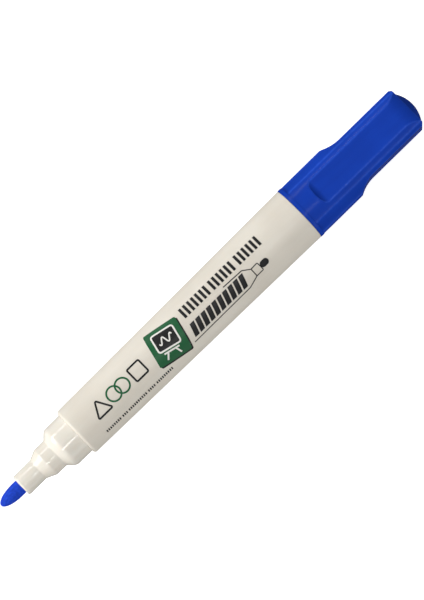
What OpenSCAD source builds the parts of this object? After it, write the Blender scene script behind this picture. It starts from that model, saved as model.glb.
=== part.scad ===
// Whiteboard marker with a bullet nib, lying along X with its cap posted on the tail.
// The nib points to -X, the cap to +X, and the cap's front panel faces +Z.
// Inside the modules the pen's axis is Z: 0 is the barrel's front face, + runs to the tail.

/* [Barrel] */
// Length of the barrel tube
barrel_len = 85.8; // [70:0.1:110]
// Step from the neck out to the barrel's front edge
shoulder_step = 1.08; // [0.95:0.01:2]
// Growth of the barrel's radius from front to tail
barrel_draft = 0.9; // [0.3:0.1:1.5]
// Round on the barrel's front edge
shoulder_round = 0.9; // [0.4:0.1:0.9]
// Chamfer on the barrel's tail edge
tail_chamfer = 0.15; // [0.05:0.05:0.3]
// Thickness of the fins that centre the reservoir
fin_t = 1; // [0.6:0.1:2]
// Number of fins
fin_count = 4; // [3:1:6]

/* [Front section] */
// Diameter of the neck and of the tail spigot, the two seats of the cap
neck_d = 13.24; // [11:0.01:18]
// Length of the neck at full diameter
neck_len = 4.9; // [4:0.1:8]
// Radius of the rounded shoulder ahead of the neck, which ends in a cone at 45 degrees
neck_round = 2.2; // [1:0.1:3]
// Diameter of the throat, between neck and snout
throat_d = 9.25; // [8.1:0.05:11]
// Length of the throat
throat_len = 3.6; // [3:0.1:7]
// Length of the cone from throat to snout
cone_len = 2.8; // [1.5:0.1:4]
// Diameter of the snout, which seals in the cap's liner
snout_d = 6.7; // [5.8:0.1:8.2]
// Length of the snout
snout_len = 6.6; // [5:0.1:10]
// Round on the snout's front edge
snout_round = 0.7; // [0.2:0.1:0.7]
// Length of the plug that holds the front section in the barrel
plug_len = 6.5; // [4:0.5:10]
// Ledge of the neck that stops on the barrel's front face
plug_ledge = 0.72; // [0.4:0.02:1]

/* [Nib] */
// Diameter of the nib
nib_d = 4.4; // [3:0.1:5.2]
// Length of nib that shows
nib_out = 7.6; // [5:0.1:12]
// Length of the rounded nose
nib_nose = 6; // [3:0.1:6.4]
// Depth that the nib reaches into the reservoir
nib_bite = 6; // [3:0.5:10]
// Number of air channels along the nib's bore
vent_count = 4; // [2:1:6]
// Width of an air channel
vent_w = 0.6; // [0.4:0.1:0.8]

/* [Reservoir] */
// Clearance between the reservoir's film and the barrel's bore
reservoir_clear = 0.35; // [0.2:0.05:0.6]
// Thickness of the film round the fibre core
film_t = 0.15; // [0.1:0.05:0.3]

/* [Tail plug] */
// Length of the spigot that carries the posted cap
spigot_len = 9.4; // [7:0.1:9.4]
// Length of the part that holds in the barrel
insert_len = 8; // [5:0.5:12]
// Step from the spigot out to the part held in the barrel
tail_step = 0.38; // [0.3:0.02:0.6]
// Step from the held part out to the flange
flange_step = 0.5; // [0.3:0.1:0.6]
// Thickness of the flange, sunk in the barrel's tail face
flange_t = 0.8; // [0.6:0.1:1.5]
// Wall of the tail plug
tail_wall = 1.2; // [0.8:0.1:1.8]
// Length of the cross ribs ahead of the held part, which press on the reservoir
press_len = 1.5; // [1:0.1:3]

/* [Cap] */
// Length of the cap
cap_len = 43.4; // [36:0.1:56]
// Wall of the cap's round part
cap_wall = 1.86; // [1.5:0.02:2.4]
// Clearance on the radius between cap and neck or spigot
cap_fit = 0.08; // [0.04:0.01:0.1]
// Gap between the seated cap's mouth and the barrel
seat_gap = 0.05; // [0.02:0.01:0.2]
// Height of the bead round the mouth
bead_step = 0.12; // [0.1:0.02:0.4]
// Width of the bead
bead_w = 1.2; // [0.8:0.1:2]
// Depth of the front and back panels below the round
panel_depth = 0.95; // [0.4:0.05:1]
// Distance from the mouth to the panels
panel_start = 6.2; // [4:0.1:10]
// Radius of the panels' run-out near the mouth
panel_run_r = 1.9; // [1.1:0.1:12]
// Length of the curved slope at the panels' far end
panel_tip_len = 4.6; // [3:0.1:6]
// Drop of that slope
panel_tip_drop = 1.1; // [0.5:0.1:1.8]
// Depth of the diagonal facets below the round
facet_depth = 0.38; // [0.1:0.02:0.5]
// Angle of the facets from the panels
facet_angle = 58; // [50:1:62]
// Distance from the mouth to the full depth of the scoops
scoop_full = 22; // [18:0.1:26]
// Radius of the scoops' run-out
scoop_r = 10.5; // [6:0.1:14]
// Chamfer on the far end of the sides
end_chamfer = 0.7; // [0.3:0.1:1]
// Ledge from the far edge of the panels or of the sides, whichever is nearer, to the dome's foot
dome_inset = 0.15; // [0.1:0.05:1.5]
// Height of the dome
dome_h = 2; // [1:0.1:3]
// Wall of the cap behind the scoops
scoop_wall = 1.2; // [1:0.05:2]
// Thickness of the closed end
end_wall = 1.6; // [1:0.1:2.5]

/* [Cap liner] */
// Distance from the cap's mouth to the liner
liner_start = 13.8; // [13.6:0.1:14.2]
// Clearance on the radius between liner and snout
liner_fit = 0.05; // [0.02:0.01:0.1]
// Wall of the liner
liner_wall = 1; // [0.7:0.1:1.2]
// Height of the rings that hold the liner in the cap
liner_ring_step = 1.08; // [0.6:0.02:1.2]
// Width of those rings
liner_ring_w = 2.2; // [1:0.1:4]
// Air left ahead of the nib's tip
tip_air = 2.2; // [1:0.1:4]

/* [Hidden] */
$fn = 96;
arc_steps = 8;
over = 1;                      // how far a cutter runs past what it cuts
vent_depth = 0.4;
chamber_wall = 1.5;            // wall of the front section's plug
chamber_start = 3.5;           // how far ahead of the barrel the chamber reaches
seat_relief = 0.1;             // bore behind the front seat is this much wider
tail_relief = 0.3;             // bore ahead of the tail seat is this much narrower
fin_gap = 0.05;
fin_inset = 4;                 // fins stop this far from the plug and from the tail plug
reservoir_gap = 0.3;           // between the front section's plug and the reservoir
nib_chamfer = 0.6;
spigot_round = 0.8;
mouth_lead = 0.25;
liner_lead = 0.6;
corner_most = 1.2;             // the largest cut at the corners of the cap's bore
bead_round = 0.1;

neck_r = neck_d / 2;
throat_r = throat_d / 2;
snout_r = snout_d / 2;
nib_r = nib_d / 2;
front_seat_r = neck_r - plug_ledge;
barrel_front_r = neck_r + shoulder_step;
barrel_tail_r = barrel_front_r + barrel_draft;
tail_seat_r = neck_r + tail_step;
flange_r = tail_seat_r + flange_step;
bore_front_r = front_seat_r + seat_relief;
bore_tail_r = tail_seat_r - tail_relief;

shoulder_z = -neck_len;
neck_arc = min(neck_round, 3 * (neck_r - throat_r));   // the round leaves room for the cone
throat_z = shoulder_z - neck_arc * (sin(45) + cos(45) - 1) - (neck_r - throat_r);
cone_z = throat_z - throat_len;
snout_z = cone_z - cone_len;
snout_front_z = snout_z - snout_len;
nib_tip_z = snout_front_z - nib_out;

film_r = bore_front_r - reservoir_clear;
core_r = film_r - film_t;
insert_z = barrel_len - insert_len;
reservoir_z = plug_len + reservoir_gap;
reservoir_end = insert_z - press_len;
nib_end = reservoir_z + nib_bite;

cap_bore_r = neck_r + cap_fit;
cap_r = cap_bore_r + cap_wall;
bead_r = cap_r + bead_step;
panel_h = cap_r - panel_depth;
facet_h = cap_r - facet_depth;
rim_z = cap_len - dome_h;
cap_z = barrel_len + seat_gap;
cap_end_z = cap_z + cap_len;

liner_bore_r = snout_r + liner_fit;
liner_body_r = liner_bore_r + liner_wall;
liner_r = liner_body_r + liner_ring_step;
liner_floor = tip_air - nib_tip_z;
liner_end = liner_floor + liner_wall;
cap_floor = rim_z - end_wall;
corner_cut = min(corner_most, cap_floor - liner_end);
side_w = liner_r + scoop_wall;
dome_r = min(panel_h - panel_tip_drop, side_w - end_chamfer) - dome_inset;

// Points of an arc of radius r about [cx, cy], from angle a0 to angle a1.
function arc(cx, cy, r, a0, a1) =
    [for (i = [0:arc_steps]) let (a = a0 + (a1 - a0) * i / arc_steps) [cx + r * cos(a), cy + r * sin(a)]];

// Points of a quarter ellipse that starts square to the axis at [x0, z0] and ends along it at [x1, z1].
function quarter(x0, z0, x1, z1) =
    [for (i = [0:arc_steps]) let (a = 90 * i / arc_steps)
        [x0 + (x1 - x0) * sin(a), z0 + (z1 - z0) * (1 - cos(a))]];

// A concave run-out from [x + depth, ...] down to the line x, which it meets at z.
function run_out(x, z, depth, r) =
    let (a = acos(1 - depth / r)) arc(x + r, z, r, 180 + a, 180);

// The pen's axis is laid along X, over the origin, with the bead on the ground.
module lay() {
    translate([-(nib_tip_z + cap_end_z) / 2, 0, bead_r]) rotate([0, 90, 0]) rotate([0, 0, 180]) children();
}

module turned(points) {
    rotate_extrude() polygon(points);
}

// An outline of half-widths along Z, mirrored and carried through by depth.
module outline(points) {
    full = concat(points, [for (i = [len(points) - 1:-1:0]) [-points[i][0], points[i][1]]]);
    rotate([90, 0, 0]) linear_extrude(height = 4 * bead_r, center = true) polygon(full);
}

module barrel() {
    color("#e3ddd2") lay() {
        difference() {
            turned(concat(
                [[0, 0]],
                quarter(barrel_front_r - shoulder_round, 0, barrel_front_r, shoulder_round),
                [[barrel_tail_r, barrel_len - tail_chamfer], [barrel_tail_r - tail_chamfer, barrel_len],
                 [0, barrel_len]]));
            turned([[0, -over], [front_seat_r, -over], [front_seat_r, plug_len],
                    [bore_front_r, plug_len], [bore_tail_r, insert_z],
                    [tail_seat_r, insert_z], [tail_seat_r, barrel_len - flange_t],
                    [flange_r, barrel_len - flange_t], [flange_r, barrel_len + over], [0, barrel_len + over]]);
        }
        barrel_fins();
    }
}

// Fins inside the bore that hold the reservoir in the middle.
module barrel_fins() {
    fin_z = plug_len + fin_inset;
    fin_end = reservoir_end - fin_inset;
    fin_in = film_r + fin_gap;
    intersection() {
        for (i = [0:fin_count - 1]) rotate([0, 0, i * 360 / fin_count + 45])
            translate([0, -fin_t / 2, fin_z]) cube([bore_tail_r + shoulder_step, fin_t, fin_end - fin_z]);
        difference() {
            cylinder(r = bore_tail_r + shoulder_step / 2, h = barrel_len);
            cylinder(r = fin_in, h = barrel_len);
        }
        // The fins end inside the wall, which thins towards the front.
        turned([[0, 0], [bore_front_r + shoulder_step / 2, 0],
                [bore_tail_r + shoulder_step / 2, barrel_len], [0, barrel_len]]);
    }
}

module front_section() {
    color("#e6e1d7") lay() difference() {
        turned(concat(
            [[0, snout_front_z]],
            quarter(snout_r - snout_round, snout_front_z, snout_r, snout_front_z + snout_round),
            [[snout_r, snout_z], [throat_r, cone_z], [throat_r, throat_z]],
            arc(neck_r - neck_arc, shoulder_z, neck_arc, -45, 0),
            [[neck_r, 0], [front_seat_r, 0], [front_seat_r, plug_len], [0, plug_len]]));
        translate([0, 0, snout_front_z - over]) cylinder(r = nib_r, h = plug_len - snout_front_z + 2 * over);
        translate([0, 0, -chamber_start])
            cylinder(r = front_seat_r - chamber_wall, h = chamber_start + plug_len + over);
        for (i = [0:vent_count - 1]) rotate([0, 0, i * 360 / vent_count])
            translate([0, -vent_w / 2, snout_front_z - over])
                cube([nib_r + vent_depth, vent_w, plug_len - snout_front_z]);
    }
}

module nib() {
    color("#1f55e0") lay() turned(concat(
        quarter(0, nib_tip_z, nib_r, nib_tip_z + nib_nose),
        [[nib_r, nib_end - nib_chamfer], [nib_r - nib_chamfer, nib_end], [0, nib_end]]));
}

module ink_reservoir() {
    color("#2c56b4") lay() difference() {
        translate([0, 0, reservoir_z]) cylinder(r = core_r, h = reservoir_end - reservoir_z);
        turned([[0, reservoir_z - over], [nib_r, reservoir_z - over], [nib_r, nib_end - nib_chamfer],
                [nib_r - nib_chamfer, nib_end], [0, nib_end]]);
    }
}

module reservoir_film() {
    color("#dfe6ef") lay() translate([0, 0, reservoir_z]) difference() {
        cylinder(r = film_r, h = reservoir_end - reservoir_z);
        translate([0, 0, -over]) cylinder(r = core_r, h = reservoir_end - reservoir_z + 2 * over);
    }
}

module tail_plug() {
    spigot_end = barrel_len + spigot_len;
    hollow_r = neck_r - tail_wall;
    color("#1a3fb0") lay() {
        difference() {
            turned(concat(
                [[0, insert_z], [tail_seat_r, insert_z], [tail_seat_r, barrel_len - flange_t],
                 [flange_r, barrel_len - flange_t], [flange_r, barrel_len], [neck_r, barrel_len]],
                arc(neck_r - spigot_round, spigot_end - spigot_round, spigot_round, 0, 90),
                [[0, spigot_end]]));
            translate([0, 0, insert_z - over]) cylinder(r = hollow_r, h = spigot_end - tail_wall - insert_z + over);
        }
        // Cross ribs that press on the end of the reservoir.
        intersection() {
            for (turn = [0, 90]) rotate([0, 0, turn])
                translate([-neck_r, -tail_wall / 2, insert_z - press_len])
                    cube([2 * neck_r, tail_wall, spigot_end - tail_wall / 2 - insert_z + press_len]);
            turned([[0, insert_z - press_len], [core_r, insert_z - press_len], [core_r, insert_z],
                    [hollow_r + tail_wall / 2, insert_z], [hollow_r + tail_wall / 2, spigot_end - tail_wall / 2],
                    [0, spigot_end - tail_wall / 2]]);
        }
    }
}

// The cap's round part, its bead and its dome, before the panels and sides are cut.
module cap_turned() {
    dome_sphere_r = (dome_r * dome_r + dome_h * dome_h) / (2 * dome_h);
    dome_angle = asin(dome_r / dome_sphere_r);
    turned(concat(
        [[0, 0], [bead_r - bead_round, 0], [bead_r, bead_round], [bead_r, bead_w - bead_round],
         [bead_r - bead_round, bead_w], [cap_r, bead_w], [cap_r, rim_z]],
        arc(0, cap_len - dome_sphere_r, dome_sphere_r, 90 - dome_angle, 90)));
}

// Seen from the front: straight sides, the scoops' run-out, the narrow end and its chamfers.
module cap_sides() {
    outline(concat(
        [[bead_r + over, -over], [bead_r + over, bead_w]],
        run_out(side_w, scoop_full, bead_r + over - side_w, scoop_r),
        [[side_w, rim_z - end_chamfer], [side_w - end_chamfer, rim_z], [dome_r, rim_z],
         [dome_r, cap_len + over]]));
}

// Seen from the side: the two panels, with a short run-out near the mouth and a slope at the far end.
module cap_faces() {
    tip_r = (panel_tip_len * panel_tip_len + panel_tip_drop * panel_tip_drop) / (2 * panel_tip_drop);
    tip_angle = asin(panel_tip_len / tip_r);
    run_z = panel_start + sqrt(2 * panel_run_r * panel_depth - panel_depth * panel_depth);
    outline(concat(
        [[bead_r + over, -over], [bead_r + over, bead_w]],
        run_out(panel_h, run_z, panel_depth, panel_run_r),
        arc(panel_h - tip_r, rim_z - panel_tip_len, tip_r, 0, tip_angle),
        [[dome_r, rim_z], [dome_r, cap_len + over]]));
}

module cap_facets() {
    for (side = [0, 180], turn = [facet_angle, -facet_angle]) rotate([0, 0, side + turn])
        translate([facet_h, -bead_r, bead_w]) cube([bead_r, 2 * bead_r, cap_len]);
}

module cap_shell() {
    color("#1a3fb0") lay() translate([0, 0, cap_z]) difference() {
        intersection() {
            cap_turned();
            rotate([0, 0, 90]) cap_sides();
            cap_faces();
        }
        cap_facets();
        turned([[0, -over], [cap_bore_r + mouth_lead, -over], [cap_bore_r + mouth_lead, 0],
                [cap_bore_r, mouth_lead], [cap_bore_r, liner_start], [liner_r, liner_start],
                [liner_r, cap_floor - corner_cut], [liner_r - corner_cut, cap_floor], [0, cap_floor]]);
    }
}

module cap_liner() {
    color("#d7e2f2") lay() translate([0, 0, cap_z]) difference() {
        turned([[0, liner_start], [liner_r, liner_start], [liner_r, liner_start + liner_ring_w],
                [liner_body_r, liner_start + liner_ring_w], [liner_body_r, liner_end - liner_ring_w],
                [liner_r, liner_end - liner_ring_w], [liner_r, liner_end], [0, liner_end]]);
        turned([[0, liner_start - over], [liner_bore_r + liner_lead, liner_start - over],
                [liner_bore_r + liner_lead, liner_start], [liner_bore_r, liner_start + liner_lead],
                [liner_bore_r, liner_floor], [0, liner_floor]]);
    }
}

barrel();
front_section();
nib();
ink_reservoir();
reservoir_film();
tail_plug();
cap_shell();
cap_liner();
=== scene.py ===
import math

import bpy
import numpy as np
from bpy.props import FloatProperty, FloatVectorProperty, IntProperty, PointerProperty
from mathutils import Matrix, Vector


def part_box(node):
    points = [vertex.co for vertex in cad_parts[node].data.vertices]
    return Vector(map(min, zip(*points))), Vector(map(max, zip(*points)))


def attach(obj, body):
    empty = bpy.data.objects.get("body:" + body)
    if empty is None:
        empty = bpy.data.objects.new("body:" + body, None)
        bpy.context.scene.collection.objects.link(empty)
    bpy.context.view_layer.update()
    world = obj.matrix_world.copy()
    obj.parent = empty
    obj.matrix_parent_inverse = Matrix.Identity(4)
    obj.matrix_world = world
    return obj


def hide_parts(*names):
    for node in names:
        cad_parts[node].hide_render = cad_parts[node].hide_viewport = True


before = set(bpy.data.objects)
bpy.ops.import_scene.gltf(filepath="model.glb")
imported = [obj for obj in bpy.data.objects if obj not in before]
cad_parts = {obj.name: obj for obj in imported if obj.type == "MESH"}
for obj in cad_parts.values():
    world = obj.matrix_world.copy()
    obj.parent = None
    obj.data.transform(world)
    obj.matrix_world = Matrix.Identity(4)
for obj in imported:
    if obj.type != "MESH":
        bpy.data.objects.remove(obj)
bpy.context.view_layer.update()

bl_info = {
    "name": "Whiteboard Marker",
    "version": (1, 0, 0),
    "blender": (4, 5, 0),
    "location": "View3D > Sidebar > Marker",
    "description": "Builds the visible pieces of a whiteboard marker round its fixed CAD frame",
    "category": "Object",
}

MM = 0.001
AROUND = 256               # points round a turned piece
EDGE = 0.1 * MM            # usual round on a moulded piece's small edges
CREASE = math.radians(38)  # faces that meet more sharply than this shade as an edge


# ------------ places taken from the frame

def span(node):
    """A node's start and end along the pen, and its largest radius."""
    low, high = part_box(node)
    return float(low[0]), float(high[0]), float(high[1] - low[1]) / 2


AXIS_Z = float(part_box("barrel")[0][2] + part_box("barrel")[1][2]) / 2
BARREL_X, BARREL_END, BARREL_TAIL_R = span("barrel")
SNOUT_X, PLUG_END, NECK_R = span("front_section")
NIB_X, NIB_END, NIB_R = span("nib")
FILM_R = span("reservoir_film")[2]
RIBS_X, SPIGOT_END, FLANGE_R = span("tail_plug")
CAP_X, CAP_END, BEAD_R = span("cap_shell")
LINER_X, LINER_END, LINER_R = span("cap_liner")


# ------------ sizes and colours a user would change

def size(name, description, default):
    """A length in metres, given in millimetres."""
    return FloatProperty(name=name, description=description, default=default * MM, min=0, precision=5,
                         subtype="DISTANCE", unit="LENGTH")


def linear(code):
    """The linear colour of an sRGB hex code such as #1a3fb0."""
    srgb = np.array([int(code[i:i + 2], 16) for i in (1, 3, 5)]) / 255
    return tuple(np.where(srgb <= 0.04045, srgb / 12.92, ((srgb + 0.055) / 1.055) ** 2.4))


def colour(name, description, code):
    """A colour given as an sRGB hex code."""
    return FloatVectorProperty(name=name, description=description, default=linear(code), size=3,
                               min=0, max=1, subtype="COLOR")


class MarkerPenSizes(bpy.types.PropertyGroup):
    front_r: size("Barrel front radius", "Radius of the barrel at its front edge", 7.69)
    shoulder_round: size("Barrel front round", "Round on the barrel's front edge", 0.9)
    tail_round: size("Barrel tail round", "Round on the barrel's tail edge", 0.15)
    seat_r: size("Front seat", "Radius of the bore that holds the front section", 5.9)
    bore_front_r: size("Bore at the front", "Radius of the bore behind the front seat", 6)
    bore_tail_r: size("Bore at the tail", "Radius of the bore ahead of the tail seat", 6.7)
    tail_seat_r: size("Tail seat", "Radius of the bore that holds the tail plug", 7)
    insert_len: size("Tail seat length", "Length of the tail plug inside the barrel", 8)
    flange_t: size("Flange thickness", "Thickness of the tail plug's flange", 0.8)
    fin_t: size("Fin thickness", "Thickness of the fins that centre the reservoir", 1)
    fin_inset: size("Fin inset", "Distance that the fins stop from plug and ribs", 4)
    fins: IntProperty(name="Fins", description="Number of fins in the bore", default=4, min=1, max=8)
    neck_len: size("Neck length", "Length of the neck at full diameter", 4.9)
    neck_round: size("Neck round", "Radius of the rounded shoulder between the neck and its cone", 2.2)
    throat_r: size("Throat radius", "Radius between neck and snout", 4.625)
    throat_len: size("Throat length", "Length of the throat", 3.6)
    cone_len: size("Cone length", "Length of the cone from throat to snout", 2.8)
    snout_r: size("Snout radius", "Radius of the snout", 3.35)
    snout_round: size("Snout round", "Round on the snout's front edge", 0.7)
    fillet: size("Fillet", "Round in the front section's inner corners", 0.5)
    chamber_r: size("Chamber radius", "Radius of the hollow behind the nib's bore", 4.4)
    chamber_reach: size("Chamber reach", "How far ahead of the barrel the hollow starts", 3.5)
    vent_w: size("Vent width", "Width of an air channel beside the nib", 0.6)
    vent_depth: size("Vent depth", "Depth of an air channel", 0.4)
    vents: IntProperty(name="Vents", description="Number of air channels", default=4, min=1, max=8)
    nose: size("Nib nose", "Length of the nib's rounded nose", 6)
    plug_wall: size("Tail plug wall", "Wall of the tail plug", 1.2)
    spigot_r: size("Spigot radius", "Radius of the spigot that carries the posted cap", 6.62)
    spigot_round: size("Spigot round", "Round on the spigot's end", 0.8)


class MarkerCapSizes(bpy.types.PropertyGroup):
    round_r: size("Round radius", "Radius of the cap's round part", 8.56)
    bore_r: size("Bore", "Radius of the cap's bore", 6.7)
    mouth_lead: size("Mouth lead", "Chamfer inside the mouth", 0.25)
    bead_w: size("Bead width", "Width of the bead round the mouth", 1.2)
    bead_round: size("Bead round", "Round on the bead's edges", 0.1)
    panel_h: size("Panel height", "Distance from the axis to the front and back panels", 7.61)
    panel_start: size("Panel start", "Distance from the mouth to the panels", 6.2)
    panel_run_r: size("Panel run-out", "Radius of the panels' run-out near the mouth", 1.9)
    slope_len: size("Slope length", "Length of the slope at the panels' far end", 4.6)
    slope_drop: size("Slope drop", "Drop of that slope", 1.1)
    facet_h: size("Facet height", "Distance from the axis to the diagonal facets", 8.18)
    facet_angle: FloatProperty(name="Facet angle", description="Angle of the facets from the panels",
                               default=math.radians(58), subtype="ANGLE", unit="ROTATION")
    side_w: size("Side half width", "Distance from the axis to the scooped sides", 6.68)
    scoop_full: size("Scoop", "Distance from the mouth to the scoops' full depth", 22)
    scoop_r: size("Scoop radius", "Radius of the scoops' run-out", 10.5)
    end_chamfer: size("End chamfer", "Chamfer on the far end of the sides", 0.7)
    edge_round: size("Edge round", "Width over which two faces of the cap blend", 0.2)
    dome_r: size("Dome radius", "Radius of the dome at its foot", 5.83)
    dome_h: size("Dome height", "Height of the dome", 2)
    end_wall: size("End wall", "Thickness of the closed end", 1.6)
    corner_cut: size("Corner cut", "Chamfer in the closed end's inner corner", 1.2)
    liner_wall: size("Liner wall", "Wall of the liner", 1)
    liner_bore_r: size("Liner bore", "Radius of the liner's bore", 3.4)
    liner_lead: size("Liner lead", "Chamfer inside the liner's mouth", 0.6)
    liner_ring_w: size("Liner ring", "Width of the rings that hold the liner", 2.2)


class MarkerPrintSizes(bpy.types.PropertyGroup):
    ink_t: size("Ink thickness", "How far the print stands proud of the barrel", 0.03)
    panel_x: size("Panel place", "Distance from the barrel's front edge to the panel's middle", 35.1)
    panel_v: size("Panel offset", "Distance round the barrel from its top to the panel's middle", 0.64)
    panel_w: size("Panel width", "Side of the square panel", 10.5)
    panel_turn: FloatProperty(name="Panel turn", description="Turn of the square panel",
                              default=math.radians(13.2), subtype="ANGLE", unit="ROTATION")


class MarkerColours(bpy.types.PropertyGroup):
    barrel: colour("Barrel", "Pearl-white polypropylene of the barrel", "#e6e0d4")
    barrel_shade: colour("Barrel shade", "The same in its flow marks", "#dcd5c8")
    neck: colour("Neck", "Natural polypropylene of the front section", "#ece7dc")
    neck_shade: colour("Neck shade", "The same in its flow marks", "#e6e0d4")
    cap: colour("Cap", "Royal-blue polypropylene of the cap", "#1342b8")
    cap_shade: colour("Cap shade", "The same in its flow marks", "#113ba8")
    # A paler blue painted along the cap's edges as a highlight.
    cap_edge_highlight: colour("Cap edge", "The same where its edges are rubbed", "#3560d8")
    liner: colour("Liner", "Natural polyethylene of the liner", "#d7e0ea")
    liner_shade: colour("Liner shade", "The same in its flow marks", "#c4cfdc")
    nib: colour("Nib", "Ink-soaked fibre of the nib", "#1c48d2")
    nib_shade: colour("Nib shade", "The same between its fibres", "#153bb0")
    reservoir: colour("Reservoir", "Ink-soaked fibre of the reservoir", "#2c56b4")
    reservoir_shade: colour("Reservoir shade", "The same between its fibres", "#1b3a86")
    film: colour("Film", "Clear film round the reservoir", "#dfe6ef")
    black: colour("Black ink", "Black of the print", "#0b0b0d")
    green: colour("Green ink", "Green of the print", "#075c31")
    white: colour("White ink", "White of the print", "#eeece6")
    floor: colour("Floor", "Pale studio floor", "#f6f6f6")


# ------------ outlines and surfaces

def rounded(corners, steps=7, near=0.12 * MM, far=2.5 * MM):
    """Points of an outline whose corners are rounded by arcs.

    A corner is (x, r, radius). Its arc touches both legs at radius / tan(half the angle between
    them), and its centre is on their bisector at radius / sin(that half). A leg gets a point close
    to each end, so that it shades straight, and more of them no further than far apart.
    """
    given = np.array(corners, float)
    points, radii = given[:, :2], given[:, 2]
    arcs = [points[:1]]
    for before, here, after, radius in zip(points, points[1:], points[2:], radii[1:-1]):
        leg_a, leg_b = before - here, after - here
        len_a, len_b = np.linalg.norm(leg_a), np.linalg.norm(leg_b)
        leg_a, leg_b = leg_a / len_a, leg_b / len_b
        half = math.acos(np.clip(leg_a @ leg_b, -1, 1)) / 2
        nearly_straight = half > 0.499 * math.pi
        if radius == 0 or nearly_straight:
            arcs.append(here[None])
            continue
        # Two arcs share a leg, so each keeps to a little under half of it.
        radius = min(radius, 0.49 * min(len_a, len_b) * math.tan(half))
        reach = radius / math.tan(half)
        bisector = (leg_a + leg_b) / np.linalg.norm(leg_a + leg_b)
        centre = here + bisector * radius / math.sin(half)
        start, end = here + leg_a * reach - centre, here + leg_b * reach - centre
        sweep = math.pi - 2 * half
        t = np.linspace(0, 1, steps)[:, None]
        swung = np.sin((1 - t) * sweep) * start + np.sin(t * sweep) * end
        arcs.append(centre + swung / math.sin(sweep))
    arcs.append(points[-1:])
    line = [arcs[0]]
    for last, arc in zip(arcs, arcs[1:]):
        leg = arc[0] - last[-1]
        length = np.linalg.norm(leg)
        if length > 3 * near:
            along = np.linspace(near, length - near, 2 + int(length / far)) / length
            line.append(last[-1] + along[:, None] * leg)
        line.append(arc)
    return np.concatenate(line)


def angles(count):
    """Angles round the pen from its top, each once."""
    return np.linspace(0, 2 * math.pi, count, endpoint=False)


def turned(x, r, a):
    """Rings about the pen at each x: the point at angle a is (x, r sin a, r cos a) from the axis."""
    x = np.reshape(x, (-1, 1))
    return np.stack(np.broadcast_arrays(x, r * np.sin(a), AXIS_Z + r * np.cos(a)), axis=2)


def grid_faces(rows, columns, closed):
    """Quads of a grid whose columns close into rings, and whose rows close too if closed."""
    i = np.arange(rows if closed else rows - 1)[:, None]
    j = np.arange(columns)[None]
    i2, j2 = (i + 1) % rows, (j + 1) % columns
    corners = [i * columns + j, i2 * columns + j, i2 * columns + j2, i * columns + j2]
    return np.stack(np.broadcast_arrays(*corners), axis=2).reshape(-1, 4)


def skin(rings, closed):
    """A closed skin over rings of points, as points, quads and triangles, facing outwards.

    If closed, the last ring joins the first, as on a tube with a bore. If not, the first and last
    rings are each one point, which a fan of triangles joins to its neighbour. The faces are
    reversed where they enclose a negative volume.
    """
    rows, columns = rings.shape[:2]
    points, fans = rings.reshape(-1, 3), np.zeros((0, 3), int)
    if closed:
        quads = grid_faces(rows, columns, True)
    else:
        quads = grid_faces(rows - 2, columns, False)
        points = np.concatenate([points[columns:-columns], rings[0, :1], rings[-1, :1]])
        j, top = np.arange(columns), (rows - 3) * columns
        j2 = (j + 1) % columns
        first, last = np.full(columns, len(points) - 2), np.full(columns, len(points) - 1)
        fans = np.concatenate([np.stack([first, j, j2], 1), np.stack([last, top + j2, top + j], 1)])
    corners = np.concatenate([quads[:, :3], quads[:, [0, 2, 3]], fans])
    p, q, s = (points[corners] - points.mean(axis=0)).transpose(1, 0, 2)
    if np.einsum("ij,ij->", p, np.cross(q, s)) < 0:
        quads, fans = quads[:, ::-1], fans[:, ::-1]
    return points, quads, fans


def piece(name, skins, material, body, replaces=()):
    """Makes one smooth object of closed skins, with its material, body and replaced nodes."""
    starts = np.cumsum([0] + [len(s[0]) for s in skins[:-1]])
    points = np.concatenate([s[0] for s in skins])
    quads = np.concatenate([s[1] + n for s, n in zip(skins, starts)])
    fans = np.concatenate([s[2] + n for s, n in zip(skins, starts)])
    mesh = bpy.data.meshes.new(name)
    mesh.vertices.add(len(points))
    mesh.vertices.foreach_set("co", points.astype(np.float32).ravel())
    mesh.loops.add(quads.size + fans.size)
    corners = np.concatenate([quads.ravel(), fans.ravel()])
    mesh.loops.foreach_set("vertex_index", corners.astype(np.int32))
    mesh.polygons.add(len(quads) + len(fans))
    loops = np.concatenate([np.arange(len(quads)) * 4, quads.size + np.arange(len(fans)) * 3])
    mesh.polygons.foreach_set("loop_start", loops.astype(np.int32))
    mesh.update(calc_edges=True)
    if mesh.validate():
        raise RuntimeError(f"{name} has faces that can't be used")
    mesh.shade_smooth()
    mesh.set_sharp_from_angle(angle=CREASE)
    mesh.materials.append(material)
    obj = bpy.data.objects.new(name, mesh)
    bpy.context.scene.collection.objects.link(obj)
    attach(obj, body)
    if replaces:
        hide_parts(*replaces)
    return obj


# ------------ materials

def add(tree, kind, sockets=None, **settings):
    """Adds a node. Settings are its properties, and each socket gets a value or a link."""
    made = tree.nodes.new("ShaderNode" + kind)
    for name, value in settings.items():
        setattr(made, name, value)
    for name, value in (sockets or {}).items():
        if isinstance(value, bpy.types.NodeSocket):
            tree.links.new(value, made.inputs[name])
        else:
            made.inputs[name].default_value = value
    return made


def new_material(name):
    """A material with an empty tree and its Object coordinates."""
    material = bpy.data.materials.new(name)
    material.use_nodes = True
    material.node_tree.nodes.clear()
    return material, material.node_tree, add(material.node_tree, "TexCoord").outputs["Object"]


def finished(material, tree, sockets):
    """Gives the tree its shader with those sockets, and returns the material."""
    shader = add(tree, "BsdfPrincipled", sockets)
    add(tree, "OutputMaterial", {"Surface": shader.outputs[0]})
    return material


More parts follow.
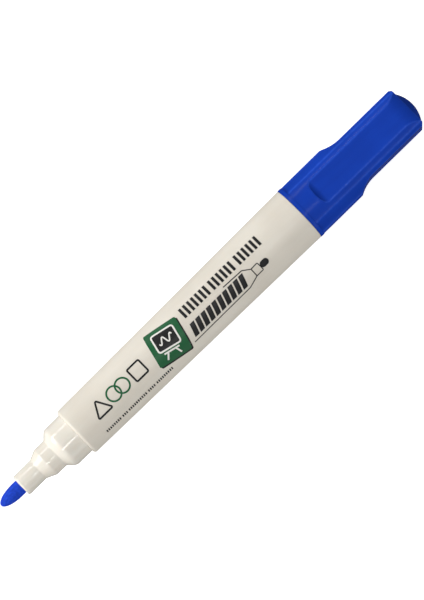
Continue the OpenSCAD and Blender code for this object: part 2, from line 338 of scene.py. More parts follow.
def moulded(name, base, shade, roughness, spread, specular, grain_depth, soft, soft_reach, edge=None):
    """Injection-moulded polyolefin: colour and gloss drift along the flow, over a fine spark-eroded grain.

    Flow marks are about 5 mm across and 40 mm long. The grain is 0.15 mm on the real tool, and is
    drawn at 0.5 mm, the finest that shows. An edge colour, a painted highlight, shows where the
    "edge" attribute is high.
    """
    material, tree, place = new_material(name)
    mark_len, mark_w, grain_w = 40 * MM, 5 * MM, 0.5 * MM
    marks = (1 / mark_len, 1 / mark_w, 1 / mark_w)
    stretched = add(tree, "Mapping", {"Vector": place, "Scale": marks}).outputs[0]
    flow = add(tree, "TexNoise", {"Vector": stretched, "Scale": 1, "Detail": 3,
                                  "Roughness": 0.55}).outputs[0]
    cloud = add(tree, "TexNoise", {"Vector": place, "Scale": 60, "Detail": 2}).outputs[0]
    drift = add(tree, "Math", {0: flow, 1: cloud}, operation="ADD").outputs[0]
    share = add(tree, "MapRange", {"Value": drift, "From Min": 0.75, "From Max": 1.25}).outputs[0]
    tint = add(tree, "Mix", {0: share, 6: (*base, 1), 7: (*shade, 1)}, data_type="RGBA").outputs[2]
    gloss = add(tree, "MapRange", {
        "Value": drift, "From Min": 0.7, "From Max": 1.3,
        "To Min": roughness - spread, "To Max": roughness + spread}).outputs[0]
    if edge is not None:
        # Painted highlight: the edge colour is mixed in, in patches, where the "edge" attribute is high.
        highlit = add(tree, "Attribute", attribute_name="edge").outputs["Fac"]
        patchy = add(tree, "TexNoise", {"Vector": place, "Scale": 900, "Detail": 3}).outputs[0]
        amount = add(tree, "Math", {0: highlit, 1: patchy}, operation="MULTIPLY").outputs[0]
        tint = add(tree, "Mix", {0: amount, 6: tint, 7: (*edge, 1)}, data_type="RGBA").outputs[2]
    grain = add(tree, "TexNoise", {"Vector": place, "Scale": 1 / grain_w, "Detail": 2}).outputs[0]
    relief = add(tree, "Bump", {"Height": grain, "Strength": 1, "Distance": grain_depth}).outputs[0]
    return finished(material, tree, {
        "Base Color": tint, "Roughness": gloss, "Normal": relief, "IOR": 1.49,
        "Specular IOR Level": specular, "Subsurface Weight": soft, "Subsurface Scale": soft_reach,
        "Subsurface Radius": (1, 0.85, 0.7)})


def fibrous(name, base, shade, across, roughness, depth, sheen):
    """Polyester fibre: bundles along the pen, darker between them, dull and a little fuzzy.

    Across is a bundle's width, and it runs 14 times as far. The real fibres are 0.02 mm, which is
    too fine to show.
    """
    material, tree, place = new_material(name)
    scale = 1 / across
    along = add(tree, "Mapping", {"Vector": place, "Scale": (scale / 14, scale, scale)}).outputs[0]
    bundles = add(tree, "TexNoise", {"Vector": along, "Scale": 1, "Detail": 4, "Roughness": 0.6,
                                     "Distortion": 0.4}).outputs[0]
    specks = add(tree, "TexNoise", {"Vector": place, "Scale": 0.6 * scale, "Detail": 2}).outputs[0]
    mixed = add(tree, "Math", {0: bundles, 1: specks}, operation="ADD").outputs[0]
    share = add(tree, "MapRange", {"Value": mixed, "From Min": 0.8, "From Max": 1.2}).outputs[0]
    tint = add(tree, "Mix", {0: share, 6: (*shade, 1), 7: (*base, 1)}, data_type="RGBA").outputs[2]
    relief = add(tree, "Bump", {"Height": mixed, "Strength": 1, "Distance": depth}).outputs[0]
    return finished(material, tree, {
        "Base Color": tint, "Roughness": roughness, "Normal": relief, "IOR": 1.45,
        "Specular IOR Level": 0.15, "Sheen Weight": sheen, "Sheen Roughness": 0.5,
        "Sheen Tint": (*base, 1)})


def printed(name, base):
    """Pad-printed ink, 0.02 mm thick on the plastic: nearly solid, a little uneven in depth and gloss."""
    material, tree, place = new_material(name)
    mottle = add(tree, "TexNoise", {"Vector": place, "Scale": 700, "Detail": 4,
                                    "Roughness": 0.6}).outputs[0]
    thin = tuple(0.9 * c + 0.02 for c in base)
    tint = add(tree, "Mix", {0: mottle, 6: (*base, 1), 7: (*thin, 1)}, data_type="RGBA").outputs[2]
    gloss = add(tree, "MapRange", {"Value": mottle, "To Min": 0.3, "To Max": 0.5}).outputs[0]
    relief = add(tree, "Bump", {"Height": mottle, "Strength": 1, "Distance": 0.01 * MM}).outputs[0]
    return finished(material, tree, {"Base Color": tint, "Roughness": gloss, "Normal": relief, "IOR": 1.5,
                                     "Specular IOR Level": 0.2})


def cast_film(name, base):
    """Clear extruded polypropylene film: glossy, slightly cloudy, with draw lines along the pen.

    The lines are 0.4 mm apart, and fade in and out over about 17 mm.
    """
    material, tree, place = new_material(name)
    apart = 0.4 * MM
    along = add(tree, "Mapping", {"Vector": place, "Scale": (60, 1 / apart, 1 / apart)}).outputs[0]
    lines = add(tree, "TexNoise", {"Vector": along, "Scale": 1, "Detail": 2}).outputs[0]
    gloss = add(tree, "MapRange", {"Value": lines, "To Min": 0.08, "To Max": 0.22}).outputs[0]
    relief = add(tree, "Bump", {"Height": lines, "Strength": 1, "Distance": 0.01 * MM}).outputs[0]
    return finished(material, tree, {"Base Color": (*base, 1), "Roughness": gloss, "Normal": relief,
                                     "IOR": 1.49, "Transmission Weight": 0.85})


# ------------ the pen

class MARKER_OT_barrel(bpy.types.Operator):
    """Barrel: a tube turned from one closed outline, with fins in its bore that centre the reservoir.

    Where a fin stands, the bore's radius drops to just over the reservoir's.
    """
    bl_idname = "marker.barrel"
    bl_label = "Barrel"

    def execute(self, context):
        s, c = context.scene.marker_pen, context.scene.marker_colours
        # The outline starts and ends part way along the front seat.
        seat_mid, seat_end = BARREL_X + 1 * MM, PLUG_END
        insert_x, recess_x = BARREL_END - s.insert_len, BARREL_END - s.flange_t
        fin_x, fin_end = seat_end + s.fin_inset, RIBS_X - s.fin_inset
        # A fin's end steps in over this length, and its inner edge clears the film by this gap.
        step, fin_gap = 0.03 * MM, 0.05 * MM

        def bore(x):
            widening = s.bore_tail_r - s.bore_front_r
            return s.bore_front_r + widening * (x - seat_end) / (insert_x - seat_end)

        line = rounded([
            (seat_mid, s.seat_r, 0), (BARREL_X, s.seat_r, EDGE), (BARREL_X, s.front_r, s.shoulder_round),
            (BARREL_END, BARREL_TAIL_R, s.tail_round), (BARREL_END, FLANGE_R, EDGE),
            (recess_x, FLANGE_R, 0), (recess_x, s.tail_seat_r, EDGE), (insert_x, s.tail_seat_r, 0),
            (insert_x, s.bore_tail_r, EDGE), (fin_end + step, bore(fin_end + step), 0),
            (fin_end, bore(fin_end), 0), (fin_x, bore(fin_x), 0), (fin_x - step, bore(fin_x - step), 0),
            (seat_end, s.bore_front_r, 0), (seat_end, s.seat_r, EDGE), (seat_mid, s.seat_r, 0)])[:-1]
        a = angles(AROUND)
        x, r = line[:, :1], line[:, 1:]
        a_fin = a - math.pi / 4
        aside = (a_fin + math.pi / s.fins) % (2 * math.pi / s.fins) - math.pi / s.fins
        on_fin = np.abs(r * np.sin(aside)) < s.fin_t / 2
        in_bore = (x > fin_x - step / 2) & (x < fin_end + step / 2) & (r < s.tail_seat_r)
        r = np.where(on_fin & in_bore, FILM_R + fin_gap, r)
        # Pearl-white polypropylene, moulded with a fine satin grain: warm white, soft broad gloss.
        look = moulded("polypropylene_moulded_pearl_white", c.barrel, c.barrel_shade, 0.42, 0.05,
                       0.3, 0.004 * MM, 0.15, 0.6 * MM)
        piece("barrel_tube", [skin(turned(x, r, a), True)], look, "pen", ["barrel"])
        return {"FINISHED"}


class MARKER_OT_front_section(bpy.types.Operator):
    """Front section: neck, cone, throat, second cone and snout turned from one closed outline.

    The first cone is at 45 degrees, and an arc of neck_round joins it to the neck. Air channels run
    along the nib's bore: there the radii from the bore to the snout's rim are squeezed outwards in
    proportion.
    """
    bl_idname = "marker.front_section"
    bl_label = "Front section"

    def execute(self, context):
        s, c = context.scene.marker_pen, context.scene.marker_colours
        # The arc touches the neck at neck_len, and the cone drops as far as it runs.
        corner_x = BARREL_X - s.neck_len - s.neck_round * math.tan(math.pi / 8)
        throat_x = corner_x - (NECK_R - s.throat_r)
        cone_x = throat_x - s.throat_len
        snout_end = cone_x - s.cone_len
        chamber_x = BARREL_X - s.chamber_reach
        # The outline starts and ends part way along the nib's bore.
        bore_mid = SNOUT_X + 2 * MM
        crisp, inner = 0.06 * MM, 0.2 * MM
        line = rounded([
            (bore_mid, NIB_R, 0), (SNOUT_X, NIB_R, crisp), (SNOUT_X, s.snout_r, s.snout_round),
            (snout_end, s.snout_r, 2 * s.fillet), (cone_x, s.throat_r, 2 * s.fillet),
            (throat_x, s.throat_r, s.fillet), (corner_x, NECK_R, s.neck_round),
            (BARREL_X, NECK_R, 0.05 * MM), (BARREL_X, s.seat_r, EDGE), (PLUG_END, s.seat_r, inner),
            (PLUG_END, s.chamber_r, inner), (chamber_x, s.chamber_r, 0.3 * MM),
            (chamber_x, NIB_R, crisp), (bore_mid, NIB_R, 0)])[:-1]
        a = angles(AROUND)
        x, r = line[:, :1], line[:, 1:]
        rim_r, vent_r = s.snout_r - s.snout_round, NIB_R + s.vent_depth
        aside = (a + math.pi / s.vents) % (2 * math.pi / s.vents) - math.pi / s.vents
        in_vent = (np.abs(r * np.sin(aside)) < s.vent_w / 2) & (r < rim_r)
        r = np.where(in_vent, vent_r + (r - NIB_R) * (rim_r - vent_r) / (rim_r - NIB_R), r)
        # Natural polypropylene from a polished tool: milky, glossier than the barrel, light enters it.
        look = moulded("polypropylene_moulded_natural", c.neck, c.neck_shade, 0.11, 0.03,
                       0.5, 0.002 * MM, 0.35, 1.2 * MM)
        piece("front_section_body", [skin(turned(x, r, a), True)], look, "pen",
              ["front_section"])
        return {"FINISHED"}


class MARKER_OT_nib(bpy.types.Operator):
    """Nib: a rod of felt whose nose is half an ellipse, with low ridges of fibre along it.

    A ridge's height is a sum of three sines of the angle round the nib, and fades out at the tip.
    """
    bl_idname = "marker.nib"
    bl_label = "Nib"

    def execute(self, context):
        s, c = context.scene.marker_pen, context.scene.marker_colours
        t = np.linspace(0, 1, 48)[:, None] ** 1.2 * math.pi / 2
        nose = np.hstack([NIB_X + s.nose * (1 - np.cos(t)), NIB_R * np.sin(t), 0 * t])
        line = rounded([*nose.tolist(), (NIB_END, NIB_R, 0.6 * MM), (NIB_END, 0, 0)], far=0.8 * MM)
        a = angles(192)
        ridges = np.sin(31 * a) + np.sin(47 * a + 1) + np.sin(23 * a + 2)
        x, r = line[:, :1], line[:, 1:]
        # The three sines reach 3 at most, so the highest ridge keeps the rod's radius.
        low = 0.0012
        fade = np.clip(r / NIB_R * 1.5 - 0.4, 0, 1)
        r = r * (1 - low * (3 - ridges) * fade)
        # Needled polyester felt, ground to a bullet and soaked in ink: dull, dense, fine lines along it.
        look = fibrous("polyester_felt_ground_ink_blue", c.nib, c.nib_shade, 0.3 * MM, 0.75,
                       0.03 * MM, 0.1)
        piece("nib_bullet", [skin(turned(x, r, a), False)], look, "pen", ["nib"])
        return {"FINISHED"}


class MARKER_OT_reservoir(bpy.types.Operator):
    """Reservoir: the fibre core and the film round it keep their CAD shape and get their finish"""
    bl_idname = "marker.reservoir"
    bl_label = "Reservoir"

    def execute(self, context):
        c = context.scene.marker_colours
        # Crimped polyester wadding full of ink: dull, with loose bundles along the pen.
        core = fibrous("polyester_wadding_bundled_ink_blue", c.reservoir, c.reservoir_shade, 0.8 * MM,
                       0.85, 0.1 * MM, 0.2)
        # Thin clear film, drawn round the wadding: glossy and see-through.
        film = cast_film("polypropylene_film_extruded_clear", c.film)
        for name, look in (("ink_reservoir", core), ("reservoir_film", film)):
            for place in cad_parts[name].material_slots:
                place.material = look
        return {"FINISHED"}


class MARKER_OT_tail_plug(bpy.types.Operator):
    """Tail plug: a cup turned from one outline, and two crossed ribs inside it.

    At angle a, the cross reaches as far as half a rib over |sin a| or |cos a|, whichever is more,
    and no further than the cup.
    """
    bl_idname = "marker.tail_plug"
    bl_label = "Tail plug"

    def execute(self, context):
        s, c = context.scene.marker_pen, context.scene.marker_colours
        insert_x, flange_x = BARREL_END - s.insert_len, BARREL_END - s.flange_t
        hollow_r, hollow_end = s.spigot_r - s.plug_wall, SPIGOT_END - s.plug_wall
        cup = rounded([
            (hollow_end, 0, 0), (hollow_end, hollow_r, 0.4 * MM), (insert_x, hollow_r, EDGE),
            (insert_x, s.tail_seat_r, EDGE), (flange_x, s.tail_seat_r, 0), (flange_x, FLANGE_R, EDGE),
            (BARREL_END, FLANGE_R, EDGE), (BARREL_END, s.spigot_r, 0.06 * MM),
            (SPIGOT_END, s.spigot_r, s.spigot_round), (SPIGOT_END, 0, 0)])
        a = angles(AROUND)
        thick, least = s.plug_wall / 2, 1e-6
        cross = np.maximum(thick / np.maximum(np.abs(np.sin(a)), least),
                           thick / np.maximum(np.abs(np.cos(a)), least))
        # The ribs press on the reservoir in front, and run into the cup's wall and end behind.
        press_r, in_wall_r = FILM_R - 0.2 * MM, hollow_r + 0.3 * MM
        in_cup_x, in_end_x = insert_x + 0.2 * MM, hollow_end + thick
        ribs = rounded([
            (RIBS_X, 0, 0), (RIBS_X, press_r, EDGE), (in_cup_x, press_r, 0), (in_cup_x, in_wall_r, 0),
            (in_end_x, in_wall_r, 0), (in_end_x, 0, 0)])
        skins = [skin(turned(cup[:, :1], cup[:, 1:], a), False),
                 skin(turned(ribs[:, :1], np.minimum(ribs[:, 1:], cross), a), False)]
        look = moulded("polypropylene_moulded_royal_blue_plug", c.cap, c.cap_shade, 0.32, 0.05,
                       0.12, 0.003 * MM, 0.1, 0.4 * MM)
        piece("tail_plug_cup", skins, look, "pen", ["tail_plug"])
        return {"FINISHED"}


# ------------ the cap

def soft_least(a, b, blend):
    """The smaller of a and b, less (blend - |a - b|)^2 / (4 blend) where that gap is positive."""
    gap = np.maximum(blend - np.abs(a - b), 0)
    return np.minimum(a, b) - gap * gap / (4 * blend)


def cap_radius(z, round_r, a, s, blend):
    """The cap's radius at z from its mouth and angle a from its front panel, for rows of z and round_r.

    It is the soft least of the round part's radius and the distance out to each flat face, which
    is the face's height over the cosine of the angle from its middle. The panels' height is H:
    a concave arc down from the round, a straight run, and a convex arc that ends slope_drop lower.
    The sides' height is W: a long concave arc, a straight run and a chamfer. The facets start
    behind the bead.
    """
    z, round_r = z[:, None], round_r[:, None]
    rim = CAP_END - CAP_X - s.dome_h
    depth = s.round_r - s.panel_h
    run_end = s.panel_start + math.sqrt(2 * s.panel_run_r * depth - depth ** 2)
    ahead = np.clip(run_end - z, 0, s.panel_run_r)
    slope_r = (s.slope_len ** 2 + s.slope_drop ** 2) / (2 * s.slope_drop)
    behind = np.maximum(z - (rim - s.slope_len), 0)
    panel = s.panel_h + s.panel_run_r - np.sqrt(s.panel_run_r ** 2 - ahead ** 2)
    panel = panel - slope_r + np.sqrt(slope_r ** 2 - behind ** 2)
    to_scoop = np.clip(s.scoop_full - z, 0, s.scoop_r)
    side = s.side_w + s.scoop_r - np.sqrt(s.scoop_r ** 2 - to_scoop ** 2)
    side = side - np.maximum(z - rim + s.end_chamfer, 0)
    # Facets stand 1 m off where the row is wider than the round part, so that they don't cut it.
    facet = np.where(round_r > s.round_r + 1e-7, 1, s.facet_h)
    least = 1e-3

    def out_to(height, angle):
        return height / np.maximum(np.abs(np.cos(a - angle)), least)

    r = soft_least(np.broadcast_to(round_r, (len(z), len(a))), out_to(panel, 0), blend)
    for turn in (s.facet_angle, -s.facet_angle):
        r = soft_least(r, out_to(facet, turn), blend)
    return soft_least(r, out_to(side, math.pi / 2), blend)


class MARKER_OT_cap(bpy.types.Operator):
    """Cap: one skin from its closed end's inner face, out through the mouth and on to the dome's top"""
    bl_idname = "marker.cap"
    bl_label = "Cap"

    def execute(self, context):
        s, c = context.scene.marker_cap, context.scene.marker_colours
        length = CAP_END - CAP_X
        rim, seat = length - s.dome_h, LINER_X - CAP_X
        floor = length - s.dome_h - s.end_wall
        a = angles(420)
        ones = np.ones(len(a))
        # Inside, from the middle of the closed end to the mouth.
        inside = rounded([
            (floor, 0, 0), (floor, LINER_R - s.corner_cut, 0), (floor - s.corner_cut, LINER_R, 0),
            (seat, LINER_R, 0), (seat, s.bore_r, 0.15 * MM), (s.mouth_lead, s.bore_r, EDGE),
            (0, s.bore_r + s.mouth_lead, 0.06 * MM), (0, BEAD_R, s.bead_round),
            (s.bead_w, BEAD_R, s.bead_round), (s.bead_w, s.round_r + 0.02 * MM, 0)])
        # Outside, from the bead to the rim, with stations closer together where the shape changes.
        panel_on, panel_full, scoop_on, scoop_deep, slope_on = (v * MM for v in (5.8, 8.2, 15.2, 17.4, 36.6))
        stops = [(s.bead_w, panel_on, 8), (panel_on, panel_full, 26), (panel_full, scoop_on, 10),
                 (scoop_on, scoop_deep, 18), (scoop_deep, s.scoop_full, 14), (s.scoop_full, slope_on, 16),
                 (slope_on, rim - s.end_chamfer, 14), (rim - s.end_chamfer, rim - s.edge_round, 4)]
        z = np.concatenate([np.linspace(*stop, endpoint=False) for stop in stops])
        turn = np.linspace(0, math.pi / 2, 7)[:, None]
        z_rim = rim - s.edge_round * (1 - np.sin(turn[:, 0]))
        rows = [(inside[:, 0], inside[:, 1:] * ones),
                (z, cap_radius(z, np.full(len(z), s.round_r), a, s, s.edge_round)),
                (z_rim, cap_radius(z_rim, np.full(len(z_rim), s.round_r), a, s, s.edge_round)
                 - s.edge_round * (1 - np.cos(turn)))]
        # The ledge goes straight from the rim in to the dome, which is part of a sphere.
        share = np.array([0.1, 0.4, 0.7, 0.93])[:, None]
        rows.append((np.full(len(share), rim), (1 - share) * rows[-1][1][-1] + share * s.dome_r * ones))
        sphere = (s.dome_r ** 2 + s.dome_h ** 2) / (2 * s.dome_h)
        dip = np.linspace(1, 0, 26) * math.asin(s.dome_r / sphere)
        rows.append((length - sphere + sphere * np.cos(dip), (sphere * np.sin(dip))[:, None] * ones))
        x = CAP_X + np.concatenate([row[0] for row in rows])
        r = np.concatenate([row[1] for row in rows])
        # Royal-blue polypropylene from a polished tool: deep colour, clear gloss, and a paler blue painted
        # along the edges as a highlight.
        look = moulded("polypropylene_moulded_royal_blue_cap", c.cap, c.cap_shade, 0.22, 0.05,
                       0.1, 0.003 * MM, 0.1, 0.4 * MM, edge=c.cap_edge_highlight)
        obj = piece("cap_body", [skin(turned(x, r, a), False)], look, "cap", ["cap_shell"])
        # How near a point is to an edge: how much more a wide blend takes off there than none, as a
        # share of the most it takes off, a quarter of its width. The paler painted highlight shows there.
        wide, none = 0.3 * MM, 0.001 * MM
        edge = [0 * row[1] for row in rows]
        for k, stations in ((1, z), (2, z_rim)):
            full = np.full(len(stations), s.round_r)
            taken = cap_radius(stations, full, a, s, none) - cap_radius(stations, full, a, s, wide)
            edge[k] = taken / (wide / 4)
        edge[2] = np.maximum(edge[2], np.sin(2 * turn))
        values = np.clip(np.concatenate(edge), 0, 1)
        flat = np.concatenate([values[1:-1].ravel(), values[0, :1], values[-1, :1]])
        # The share is kept as the "edge" attribute, where the material paints its highlight.
        highlit = obj.data.attributes.new("edge", "FLOAT", "POINT")
        highlit.data.foreach_set("value", flat.astype(np.float32))
        return {"FINISHED"}


class MARKER_OT_cap_liner(bpy.types.Operator):
    """Liner: a cup turned from one outline, with a ring at each end that holds it in the cap"""
    bl_idname = "marker.cap_liner"
    bl_label = "Cap liner"

    def execute(self, context):
        s, c = context.scene.marker_cap, context.scene.marker_colours
        body_r, floor, inner = s.liner_bore_r + s.liner_wall, LINER_END - s.liner_wall, 0.2 * MM
        ring_a, ring_b = LINER_X + s.liner_ring_w, LINER_END - s.liner_ring_w
        line = rounded([
            (floor, 0, 0), (floor, s.liner_bore_r, inner), (LINER_X + s.liner_lead, s.liner_bore_r, inner),
            (LINER_X, s.liner_bore_r + s.liner_lead, EDGE), (LINER_X, LINER_R, EDGE),
            (ring_a, LINER_R, EDGE), (ring_a, body_r, EDGE), (ring_b, body_r, EDGE),
            (ring_b, LINER_R, EDGE), (LINER_END, LINER_R, EDGE), (LINER_END, 0, 0)])
        # Natural polyethylene: waxy, milky and softer to the light than the rest.
        look = moulded("polyethylene_moulded_natural", c.liner, c.liner_shade, 0.35, 0.05, 0.4,
                       0.003 * MM, 0.4, 1 * MM)
        cup = skin(turned(line[:, :1], line[:, 1:], angles(192)), False)
        piece("cap_liner_cup", [cup], look, "cap", ["cap_liner"])
        return {"FINISHED"}


# ------------ the print

def ink(path, half, s, pen, layer=1, closed=False, across=None):
    """A closed pad of ink on the barrel, along a path of (distance from the front edge, distance round).

    The pad is as wide as half to either side of the path, square to it or along across, and stands
    layer * ink_t proud. A distance v round the barrel is the angle v / radius, where the radius
    grows evenly from the front edge to the tail.
    """
    path = np.asarray(path, float)[:, :2]
    half = np.broadcast_to(half, len(path))
    if across is None:
        ahead = np.roll(path, -1, 0) - np.roll(path, 1, 0) if closed else np.gradient(path, axis=0)
        across = np.stack([-ahead[:, 1], ahead[:, 0]], 1) / np.linalg.norm(ahead, axis=1)[:, None]
    columns = 2 + int(2 * half.max() / (0.5 * MM))
    to_side = np.linspace(-1, 1, columns)[None, :, None] * (half[:, None] * across)[:, None]
    flat = path[:, None] + to_side
    flat = np.concatenate([flat, flat[:, ::-1]], axis=1)
    height = np.ones((len(path), 1)) * np.repeat([layer, -1], columns) * s.ink_t
    if not closed:
        flat = np.concatenate([flat[:1] * 0 + path[0], flat, flat[:1] * 0 + path[-1]])
        height = np.pad(height, ((1, 1), (0, 0)))
    base = pen.front_r + (BARREL_TAIL_R - pen.front_r) * flat[..., 0] / (BARREL_END - BARREL_X)
    a, r = flat[..., 1] / base, base + height
    rings = np.stack([BARREL_X + flat[..., 0], -r * np.sin(a), AXIS_Z + r * np.cos(a)], axis=2)
    return skin(rings, closed)


def set_down(points, centre, turn):
    """Points of a figure turned about its middle and moved to its centre."""
    c, s = math.cos(turn), math.sin(turn)
    return np.asarray(points, float)[:, :2] @ np.array([[c, s], [-s, c]]) + centre


def ring_of(radius, count=48):
    """A circle about the origin."""
    a = angles(count)
    return radius * np.stack([np.cos(a), np.sin(a)], axis=1)


def frame_of(width, height, corner):
    """A closed rectangle with round corners about the origin, from the middle of one side."""
    w, h = width / 2, height / 2
    sides = [(0, -h, 0), (w, -h, corner), (w, h, corner), (-w, h, corner), (-w, -h, corner), (0, -h, 0)]
    return rounded(sides, far=0.4 * MM)[:-1]


def slab(length, width, corner):
    """Half widths along a straight path that fill a rectangle with round corners.

    Near an end, the half width is less by corner - sqrt(corner^2 - how far into the corner^2).
    """
    ends = length / 2 - corner * (1 - np.cos(np.linspace(0, math.pi / 2, 9)))
    middle = np.linspace(ends[-1], -ends[-1], 2 + int(length / (0.5 * MM)))[1:-1]
    p = np.concatenate([ends, middle, -ends[::-1]])
    into = np.clip(np.abs(p) - (length / 2 - corner), 0, corner)
    half = width / 2 - corner + np.sqrt(np.maximum(corner ** 2 - into ** 2, 0))
    return np.stack([p, 0 * p], axis=1), np.maximum(half, 0.02 * MM)


class MARKER_OT_print(bpy.types.Operator):
    """Print: a panel with a drawn board, three figures, rows of strokes and an outline of a pen"""
    bl_idname = "marker.print"
    bl_label = "Print"

    def execute(self, context):
        s, pen, c = context.scene.marker_print, context.scene.marker_pen, context.scene.marker_colours
        centre = np.array([s.panel_x, s.panel_v])

        def on_panel(points):
            return set_down(points, centre, s.panel_turn)

        def stroke(points, half, layer=1, closed=False):
            return ink(points, half, s, pen, layer, closed)

        def smooth(corners, corner=0.3 * MM):
            legs = [(p * MM, q * MM, corner) for p, q in corners]
            return rounded(legs, far=0.4 * MM)

        # Half widths of the drawn lines.
        ring_w, board_w, wave_w, figure_w, outline_w = (v * MM for v in (0.26, 0.24, 0.2, 0.27, 0.14))
        # The green panel with a black one behind it, and two linked rings.
        path, half = slab(s.panel_w, s.panel_w, 0.5 * MM)
        green = [stroke(on_panel(path), half, 2)]
        black = [stroke(on_panel(path + np.array([0.4, 0.5]) * MM), half)]
        for z in (14.9, 18.1):
            green.append(stroke(ring_of(2.1 * MM) + np.array([z, 0.36]) * MM, ring_w, closed=True))
        # The board on the panel: black, with a pale frame, a drawn wave, a tray and two legs.
        path, half = slab(6.6 * MM, 4.9 * MM, 0.5 * MM)
        board = np.array([0, -1.1]) * MM
        black.append(stroke(on_panel(path + board), half, 3))
        edging = frame_of(6.9 * MM, 5.2 * MM, 0.65 * MM) + board
        pale = [stroke(on_panel(edging), board_w, 4, closed=True)]
        p = np.linspace(-2.2, 2.2, 40)
        wave = np.stack([p, -1.1 + 0.95 * np.sin(p * 2.6)], axis=1) * MM
        pale.append(stroke(on_panel(wave), wave_w, 4))
        for legs in ([(-2.4, 2.35), (2.4, 2.35)], [(-1.2, 2.4), (-2.2, 4.3)], [(1.2, 2.4), (2.2, 4.3)]):
            pale.append(stroke(on_panel(smooth(legs)), board_w, 4))
        # A triangle before the rings and a square after them.
        triangle = smooth([(9.5, 2.7), (12.3, 2.7), (9.7, -1.9), (7.1, 2.7), (9.5, 2.7)])[:-1]
        square = frame_of(4.3 * MM, 4.3 * MM, 0.4 * MM) + np.array([23.9, 0.4]) * MM
        black.append(stroke(triangle, figure_w, closed=True))
        black.append(stroke(square, figure_w, closed=True))
        # Rows of strokes, in mm: (start, pitch, count), with top, foot, half width and slant.
        words = [(6.6, 0.7, 8), (12.6, 0.7, 3), (15, 0.7, 10), (22.4, 0.7, 4), (25.6, 0.7, 9)]
        rows = [(words, 6.7, 7.6, 0.2, 0),
                ([(43.6, 1.5, 7), (54.6, 1.5, 6), (64.4, 1.5, 6)], -3.9, -0.6, 0.41, 0),
                ([(42.4, 2.05, 10)], 1.3, 5.2, 0.78, 1.2)]
        for groups, top, foot, half_w, slant in rows:
            for start, pitch, count in groups:
                for z in start + pitch * np.arange(count):
                    line = smooth([(z, foot), (z + slant, top)])
                    black.append(ink(line, half_w * MM, s, pen, across=np.array([[1.0, 0.0]])))
        # The outline of a pen: its upper edge, its taper and collar, its lower edge, and a black tip.
        outline = [(56.4, 0.5), (63.2, 0.8), (65.3, 2.3), (67.7, 2.2), (67.8, 4.9), (65.3, 4.9),
                   (61.8, 6.1), (40.6, 6.2)]
        black.append(stroke(smooth(outline), outline_w))
        black.append(stroke(smooth([(65.3, 2.3), (65.3, 4.9)]), outline_w))
        path, half = slab(2.8 * MM, 2 * MM, 0.98 * MM)
        black.append(stroke(path + np.array([69.2, 3.6]) * MM, half))
        for name, skins, look, slot in (
                ("print_green", green, printed("ink_pad_printed_green", c.green), "print_green"),
                ("print_black", black, printed("ink_pad_printed_black", c.black), "print_black"),
                ("print_pale", pale, printed("ink_pad_printed_white", c.white), "barrel_white")):
            piece(name, skins, look, "pen")
        return {"FINISHED"}


# ------------ floor, light and camera

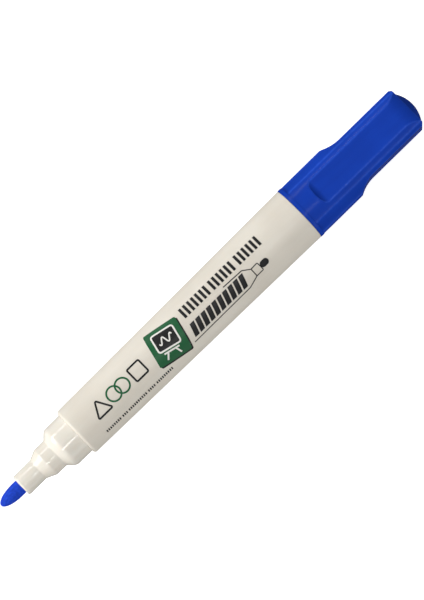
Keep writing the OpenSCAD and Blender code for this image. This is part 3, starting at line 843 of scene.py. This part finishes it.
class MARKER_OT_stage(bpy.types.Operator):
    """Stage: a plain pale floor, soft studio light, and a camera that looks down on the pen"""
    bl_idname = "marker.stage"
    bl_label = "Stage"

    def execute(self, context):
        scene, c = context.scene, context.scene.marker_colours
        wide = 4.0
        corners = [(-wide, -wide, 0), (wide, -wide, 0), (wide, wide, 0), (-wide, wide, 0)]
        mesh = bpy.data.meshes.new("floor")
        mesh.from_pydata(corners, [], [(0, 1, 2, 3)])
        # Matt painted board: even and pale, with a faint fibre.
        material, tree, place = new_material("board_painted_matt_pale")
        fibre = add(tree, "TexNoise", {"Vector": place, "Scale": 300, "Detail": 3}).outputs[0]
        gloss = add(tree, "MapRange", {"Value": fibre, "To Min": 0.85, "To Max": 0.95}).outputs[0]
        mesh.materials.append(finished(material, tree, {
            "Base Color": (*c.floor, 1), "Roughness": gloss, "Specular IOR Level": 0.1,
            "Emission Color": (1, 1, 1, 1), "Emission Strength": 0.7}))
        floor = bpy.data.objects.new("floor", mesh)
        scene.collection.objects.link(floor)
        # The board glows but throws no light on the pen, which the room lights from below too.
        floor.visible_diffuse = floor.visible_glossy = False

        scene.world = bpy.data.worlds.new("soft_room")
        scene.world.use_nodes = True
        # The room is brighter at the nib's end, and what gloss mirrors of it from below is dark.
        room = scene.world.node_tree
        nib_end, cap_end, darkest = 0.95, 0.25, 0.9
        facing = add(room, "SeparateXYZ", {"Vector": add(room, "TexCoord").outputs["Generated"]}).outputs
        glow = add(room, "MapRange", {"Value": facing["X"], "From Min": -1, "To Min": nib_end,
                                      "To Max": cap_end}).outputs[0]
        below = add(room, "MapRange", {"Value": facing["Z"], "From Min": 0.5, "From Max": 0,
                                       "To Max": darkest}).outputs[0]
        mirrored = add(room, "LightPath").outputs["Is Glossy Ray"]
        lost = add(room, "Math", {0: mirrored, 1: below}, operation="MULTIPLY").outputs[0]
        kept = add(room, "Math", {0: 1.0, 1: lost}, operation="SUBTRACT").outputs[0]
        strength = add(room, "Math", {0: glow, 1: kept}, operation="MULTIPLY").outputs[0]
        room.links.new(strength, room.nodes["Background"].inputs["Strength"])
        room.nodes["Background"].inputs["Color"].default_value = (1, 1, 1, 1)
        # Soft boxes: name, direction they stand in, distance, width along the pen, width across, power.
        # The strips show only as highlights.
        boxes = [("key_box", (-1.2, 1.1, 0.8), 1.2, 0.9, 0.7, 11.0),
                 ("fill_box", (-0.1, -1, 0.2), 1.2, 1.2, 0.5, 2.4),
                 ("top_strip", (-0.35, -0.33, 1), 1.0, 0.9, 0.02, 3.5),
                 ("left_strip", (-0.2, 0.88, 0.47), 1.0, 0.9, 0.03, 2.5)]
        for name, towards, distance, along, across, power in boxes:
            light = bpy.data.lights.new(name, "AREA")
            light.shape = "RECTANGLE"
            light.size, light.size_y, light.energy = along, across, power
            lamp = bpy.data.objects.new(name, light)
            back = Vector(towards).normalized()
            side = (Vector((1, 0, 0)) - back * back.x).normalized()
            lamp.matrix_world = Matrix((side, back.cross(side), back)).transposed().to_4x4()
            lamp.location = back * distance
            lamp.visible_diffuse = name in ("key_box", "fill_box")
            scene.collection.objects.link(lamp)

        # The camera leans towards -Y and -X, and the pen runs up to the right.
        lean_y, lean_x, roll = math.radians(5.3), math.radians(2.5), math.radians(44.36)
        distance, lens, target = 1.5, 328.5, Vector((1.78 * MM, -0.09 * MM, AXIS_Z))
        back = Vector((-math.tan(lean_x), -math.tan(lean_y), 1)).normalized()
        pen = (Vector((1, 0, 0)) - back * back.x).normalized()
        left = back.cross(pen)
        right = pen * math.cos(roll) - left * math.sin(roll)
        up = pen * math.sin(roll) + left * math.cos(roll)
        camera = bpy.data.objects.new("camera", bpy.data.cameras.new("camera"))
        camera.matrix_world = Matrix((right, up, back)).transposed().to_4x4()
        camera.location = target + back * distance
        camera.data.lens, camera.data.sensor_width = lens, 36
        scene.collection.objects.link(camera)
        scene.camera = camera
        scene.view_settings.view_transform = "Standard"
        return {"FINISHED"}


class MARKER_PT_panel(bpy.types.Panel):
    """Lists the marker's sizes, colours and pieces"""
    bl_idname = "MARKER_PT_panel"
    bl_label = "Whiteboard Marker"
    bl_space_type = "VIEW_3D"
    bl_region_type = "UI"
    bl_category = "Marker"

    def draw(self, context):
        for kind in OPERATORS:
            self.layout.operator(kind.bl_idname)
        for name, kind in GROUPS.items():
            box = self.layout.box()
            for field in kind.__annotations__:
                box.prop(getattr(context.scene, name), field)


GROUPS = {"marker_pen": MarkerPenSizes, "marker_cap": MarkerCapSizes, "marker_print": MarkerPrintSizes,
          "marker_colours": MarkerColours}
OPERATORS = (MARKER_OT_barrel, MARKER_OT_front_section, MARKER_OT_nib, MARKER_OT_reservoir,
             MARKER_OT_tail_plug, MARKER_OT_cap, MARKER_OT_cap_liner, MARKER_OT_print, MARKER_OT_stage)


def register():
    for kind in (*GROUPS.values(), *OPERATORS, MARKER_PT_panel):
        bpy.utils.register_class(kind)
    for name, kind in GROUPS.items():
        setattr(bpy.types.Scene, name, PointerProperty(type=kind))


def unregister():
    for name in GROUPS:
        delattr(bpy.types.Scene, name)
    for kind in reversed((*GROUPS.values(), *OPERATORS, MARKER_PT_panel)):
        bpy.utils.unregister_class(kind)


def main():
    register()
    bpy.ops.marker.barrel()
    bpy.ops.marker.front_section()
    bpy.ops.marker.nib()
    bpy.ops.marker.reservoir()
    bpy.ops.marker.tail_plug()
    bpy.ops.marker.cap()
    bpy.ops.marker.cap_liner()
    bpy.ops.marker.print()
    bpy.ops.marker.stage()


if __name__ == "__main__":
    main()
